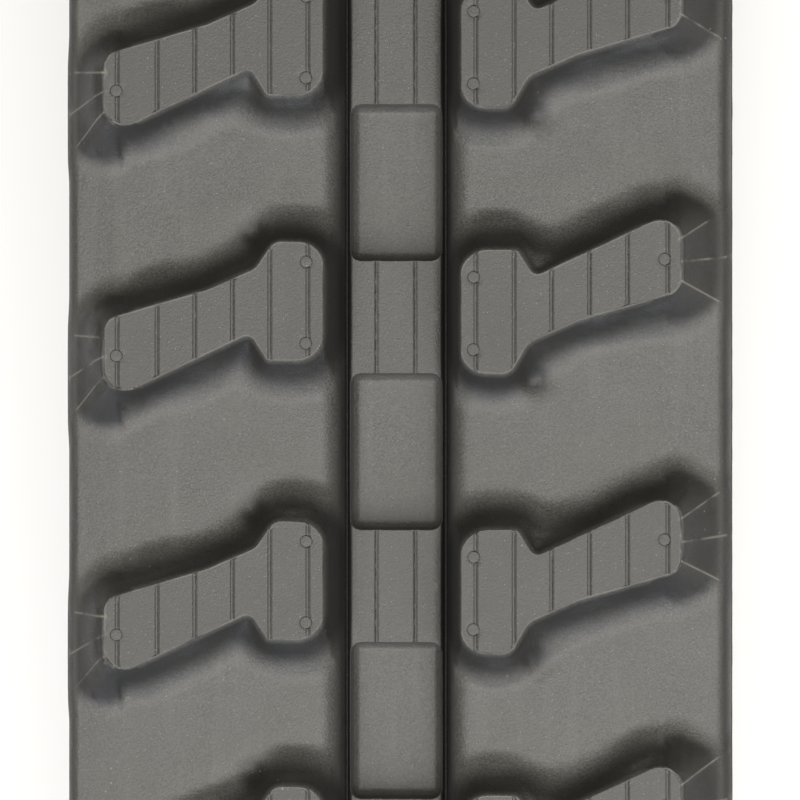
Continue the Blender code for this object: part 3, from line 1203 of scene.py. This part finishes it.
def rubber_material(grain):
    """Moulded rubber: speckled and dusty on the panels, smoother on the lugs, with painted shade down
    their walls and in grooves, painted highlights along edges, flash lines and smears, and painted glints.
    """
    material, tree, shader = new_material("moulded_rubber")
    point = object_point(tree)
    marks = use_grain(tree, grain, point, 0.9, 1.0)
    flakes = use_grain(tree, grain, point, 2.2, 0.35)
    dusty = spread(tree, marks["Clouds"], 0.32, 0.68)
    grainy = spread(tree, marks["Grain"], 0.38, 0.62)
    painted_rim_highlight = times(tree, painted_mask(tree, "rim"), spread(tree, flakes["Clouds"], 0.38, 0.52))
    scattered_painted_glints = times(tree, flakes["Sparkle"], spread(tree, marks["Clouds"], 0.58, 0.64))
    layers = (
        # Painted highlight of glossy smears along the belt.
        (painted_smear_highlights(tree, point), 0.3, (0.075, 0.073, 0.067)),
        (grainy, 0.7, (0.078, 0.076, 0.069)),
        (painted_mask(tree, "top"), 0.7, (0.033, 0.0318, 0.0285)),
        # Painted glints of tiny bright facets.
        (marks["Sparkle"], 0.55, (0.3, 0.295, 0.27)),
        # Painted shade down the lugs' walls, on steep flanks, in dents and in slots.
        (painted_mask(tree, "wall"), 0.92, (0.0085, 0.0082, 0.0075)),
        # Painted shade in the vent grooves and pin rings.
        (painted_mask(tree, "groove"), 0.75, (0.006, 0.006, 0.005)),
        # Painted highlight along the lugs' edges and the flash lines, patchy.
        (painted_rim_highlight, 0.6, (0.16, 0.152, 0.13)),
        # Scattered painted glints, where the clouds allow.
        (scattered_painted_glints, 0.4, (0.34, 0.3, 0.26)),
    )
    colour = mix_colour(tree, dusty, (0.026, 0.0252, 0.023), (0.045, 0.0435, 0.0395))
    for mask, strength, over in layers:
        colour = mix_colour(tree, times(tree, mask, strength), colour, over)
    rough = maths(tree, "ADD", times(tree, dusty, 0.1), 0.44)
    rough = maths(tree, "ADD", rough, times(tree, grainy, 0.1))
    normal = bump(tree, marks["Grain"], 0.5, 0.0004)
    normal = bump(tree, flakes["Grain"], 0.12, 0.0006, normal)
    feed(tree, shader, {"Base Color": colour, "Roughness": rough, "Normal": normal})
    return material


def cast_steel_material(grain):
    """Rough cast steel with a little rust."""
    material, tree, shader = new_material("cast_steel")
    marks = use_grain(tree, grain, object_point(tree), 2.2, 0.5)
    rust = spread(tree, marks["Clouds"], 0.45, 0.68)
    colour = mix_colour(tree, rust, (0.16, 0.15, 0.14), (0.11, 0.07, 0.045))
    colour = mix_colour(tree, times(tree, marks["Grain"], 0.5), colour, (0.05, 0.045, 0.04))
    rough = maths(tree, "ADD", times(tree, rust, 0.25), 0.45)
    normal = bump(tree, marks["Grain"], 0.5, 0.0008)
    feed(tree, shader, {"Base Color": colour, "Metallic": 0.85, "Roughness": rough, "Normal": normal})
    return material


def cord_material(grain):
    """Bright drawn wire with a thin plating."""
    material, tree, shader = new_material("brass_plated_cord")
    marks = use_grain(tree, grain, object_point(tree), 1.0, 0.4)
    colour = mix_colour(tree, marks["Clouds"], (0.5, 0.46, 0.38), (0.36, 0.33, 0.29))
    normal = bump(tree, marks["Grain"], 0.2, 0.0002)
    feed(tree, shader, {"Base Color": colour, "Metallic": 1.0, "Roughness": 0.35, "Normal": normal})
    return material


def floor_material():
    material, tree, shader = new_material("pale_floor")
    feed(tree, shader, {"Base Color": (0.86, 0.86, 0.86, 1), "Roughness": 0.7})
    return material


# ---- cords, stage, camera


def socket_id(tree, name):
    sockets = tree.interface.items_tree
    return next(item.identifier for item in sockets if item.name == name and item.in_out == "INPUT")


def cord_tree():
    """A row of straight steel cords, one pitch long, from named sizes."""
    tree, given, made = new_group(
        "cord_row",
        "GeometryNodeTree",
        [
            ("Cords", "Int", 11),
            ("Spacing", "Float", 0.0026),
            ("Cord Radius", "Float", 0.0009),
            ("Length", "Float", 0.0718),
            ("Material", "Material", None),
        ],
        [("Geometry", "Geometry")],
    )
    size = given.outputs
    gap = add_node(tree, "ShaderNodeCombineXYZ", {"X": size["Spacing"]})
    places = {"Count": size["Cords"], "Offset": gap.outputs[0]}
    row = add_node(tree, "GeometryNodeMeshLine", places, mode="OFFSET")
    round_bar = {"Vertices": CORD_SIDES, "Radius": size["Cord Radius"], "Depth": size["Length"]}
    cord = add_node(tree, "GeometryNodeMeshCylinder", round_bar, fill_type="NGON")
    copied = {"Points": row.outputs[0], "Instance": cord.outputs["Mesh"], "Rotation": (math.pi / 2, 0, 0)}
    copies = add_node(tree, "GeometryNodeInstanceOnPoints", copied)
    real = add_node(tree, "GeometryNodeRealizeInstances", {0: copies.outputs[0]})
    painted = {"Geometry": real.outputs[0], "Material": size["Material"]}
    feed(tree, made, {"Geometry": add_node(tree, "GeometryNodeSetMaterial", painted).outputs[0]})
    return tree


def cord_row_mesh(tree, material):
    maker = add_object("cord_maker", bpy.data.meshes.new("cord_maker"))
    modifier = maker.modifiers.new("cords", "NODES")
    modifier.node_group = tree
    modifier[socket_id(tree, "Material")] = material
    graph = bpy.context.evaluated_depsgraph_get()
    mesh = bpy.data.meshes.new_from_object(maker.evaluated_get(graph))
    bpy.data.objects.remove(maker, do_unlink=True)
    return mesh


def add_cords(material):
    """The wound cords of each belt, a row of straight runs in every link."""
    row = cord_row_mesh(cord_tree(), material)
    base = np.array([tuple(v.co) for v in row.vertices]) / MM
    base[:, 0] += CORD_MIDDLE - (base[:, 0].min() + base[:, 0].max()) / 2
    for n in range(LINKS):
        for side, word in ((-1, "left"), (1, "right")):
            mesh = row.copy()
            points = base * np.array([side, side, 1])
            mesh.vertices.foreach_set("co", (link_place(n, points) * MM).astype(np.float32).ravel())
            mesh.update()
            outwards(mesh)
            name = f"cords_{word}_{n:02d}"
            add_piece(name, mesh, material, body_name(n), [f"cord_belt_{word}"])


def add_floor():
    mesh = bpy.data.meshes.new("floor")
    corners = [(x * FLOOR_REACH, y * FLOOR_REACH, 0) for x, y in ((-1, -1), (1, -1), (1, 1), (-1, 1))]
    mesh.from_pydata(corners, [], [(0, 1, 2, 3)])
    mesh.materials.append(floor_material())
    add_object("floor", mesh)


def add_light(name, size, place, power, colour):
    light = bpy.data.lights.new(name, "AREA")
    light.shape = "RECTANGLE"
    light.size, light.size_y = size
    light.energy = power
    light.color = colour
    lamp = add_object(name, light)
    lamp.location = place
    lamp.rotation_euler = (Vector(LIGHT_TARGET) - Vector(place)).to_track_quat("-Z", "Y").to_euler()


def light_studio():
    world = bpy.data.worlds.new("studio")
    bpy.context.scene.world = world
    world.use_nodes = True
    tree = world.node_tree
    feed(tree, tree.nodes["Background"], {"Color": WORLD_COLOUR, "Strength": WORLD_STRENGTH})
    add_light("softbox", size=(2.8, 2.6), place=(0.2, -0.55, 2.25), power=140, colour=(1, 0.985, 0.955))
    add_light("cool_strip", size=(2.4, 0.5), place=(0, -2.0, 1.15), power=16, colour=(0.4, 0.58, 1))


def place_camera():
    camera = bpy.data.cameras.new("camera")
    camera.angle = math.radians(VIEW_ANGLE)
    camera.clip_start, camera.clip_end = 0.05, 30
    holder = add_object("camera", camera)
    back = Vector(CAMERA_OFFSET).normalized()
    right = Vector((0, 1, 0)).cross(back).normalized()
    turn = Matrix((right, back.cross(right), back)).transposed().to_4x4()
    holder.matrix_world = Matrix.Translation(Vector(CAMERA_TARGET) + Vector(CAMERA_OFFSET)) @ turn
    bpy.context.scene.camera = holder


# ---- the whole track


def main():
    grain = grain_group()
    add_band(rubber_material(grain))
    add_cores(cast_steel_material(grain))
    add_cords(cord_material(grain))
    add_floor()
    light_studio()
    place_camera()
    bpy.context.scene.view_settings.view_transform = "Standard"


main()
